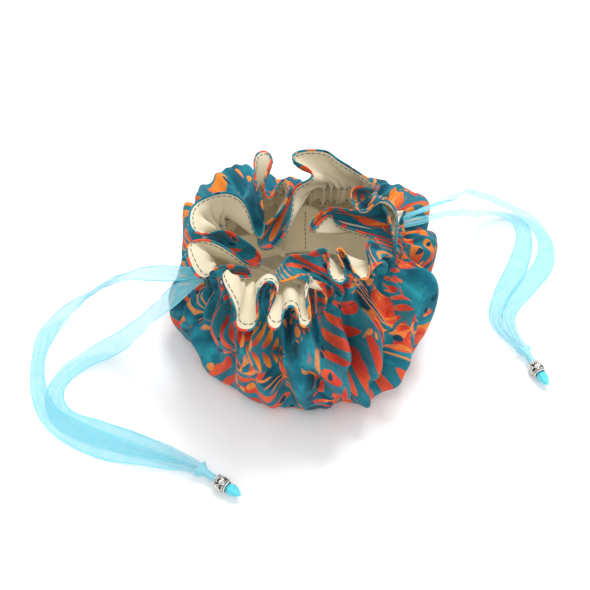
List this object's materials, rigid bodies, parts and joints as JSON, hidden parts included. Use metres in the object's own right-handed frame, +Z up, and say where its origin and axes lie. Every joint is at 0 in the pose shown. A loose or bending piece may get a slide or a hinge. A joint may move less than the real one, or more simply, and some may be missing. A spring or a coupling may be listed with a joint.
{
  "type": "drawstring dice bag",
  "caption": "Gathered round cotton pouch with a ruffled mouth, inner pockets, and ribbons drawn from both sides through beads.",
  "frame": {"origin": "on the table under the middle of the bag", "axes": "+Z up, the two ribbon exits on -X and +X"},
  "size_m": [0.3073, 0.1598, 0.0958],
  "materials": {
    "printed_cotton": "matte print",
    "cream_cotton": "matte",
    "thread": "matte",
    "organza": "sheer",
    "silver": "oxidised silver"
  },
  "bodies": {
    "bag": {"outer_cotton": "printed_cotton", "lining": "cream_cotton", "pocket_ring": "cream_cotton", "rim_topstitch": "thread", "channel_stitch_lower": "thread", "channel_stitch_upper": "thread", "exit_stitching_left": "thread", "exit_stitching_right": "thread", "channel_ribbon_left": "organza", "channel_ribbon_right": "organza", "pocket_row_1": "thread", "pocket_row_2": "thread", "pocket_row_3": "thread", "pocket_row_4": "thread", "pocket_row_5": "thread", "pocket_row_6": "thread", "pocket_row_7": "thread", "pocket_row_8": "thread"},
    "left_ribbon": {"ribbon_left_upper": "organza", "ribbon_left_lower": "organza", "ribbon_tip_left": "organza"},
    "right_ribbon": {"ribbon_right_upper": "organza", "ribbon_right_lower": "organza", "ribbon_tip_right": "organza"},
    "left_bead": {"bead_left": "silver"},
    "right_bead": {"bead_right": "silver"}
  },
  "joints": [
    {"name": "left_ribbon_pull", "type": "slide", "parent": "bag", "child": "left_ribbon", "axis": [-1, 0, 0], "range_m": [0, 0.02]},
    {"name": "right_ribbon_pull", "type": "slide", "parent": "bag", "child": "right_ribbon", "axis": [1, 0, 0], "range_m": [0, 0.02]},
    {"name": "left_bead_slide", "type": "slide", "parent": "left_ribbon", "child": "left_bead", "axis": [-0.5398, 0.8418, 0], "range_m": [0, 0.006]},
    {"name": "right_bead_slide", "type": "slide", "parent": "right_ribbon", "child": "right_bead", "axis": [0.02, 0.9998, 0], "range_m": [0, 0.006]}
  ]
}
